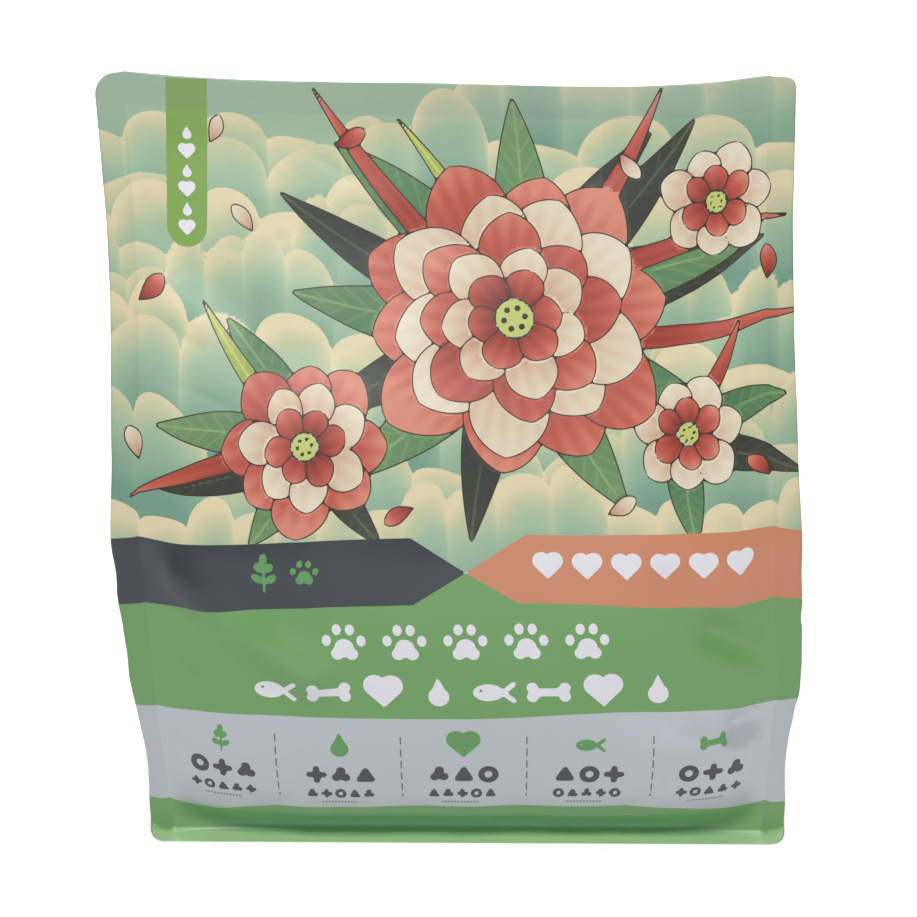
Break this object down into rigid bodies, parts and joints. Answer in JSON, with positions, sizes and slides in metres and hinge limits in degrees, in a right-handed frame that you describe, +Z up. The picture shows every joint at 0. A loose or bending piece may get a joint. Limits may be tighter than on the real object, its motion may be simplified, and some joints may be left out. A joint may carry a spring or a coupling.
{
  "type": "pet food bag",
  "caption": "Sealed stand-up film bag of dry cat food with a flat base, folded side gussets and a flat heat-sealed top.",
  "frame": {"origin": "on the ground, under the middle of the bag's outer box", "axes": "+Z up, the printed front faces -Y, X runs along the top seal"},
  "size_m": [0.2512, 0.1152, 0.2675],
  "materials": {
    "film": "satin printed laminate film: pale green and cream picture zone, dark and orange bands, green field, silver-grey strip"
  },
  "bodies": {
    "root": {"bag": "film"}
  },
  "joints": []
}
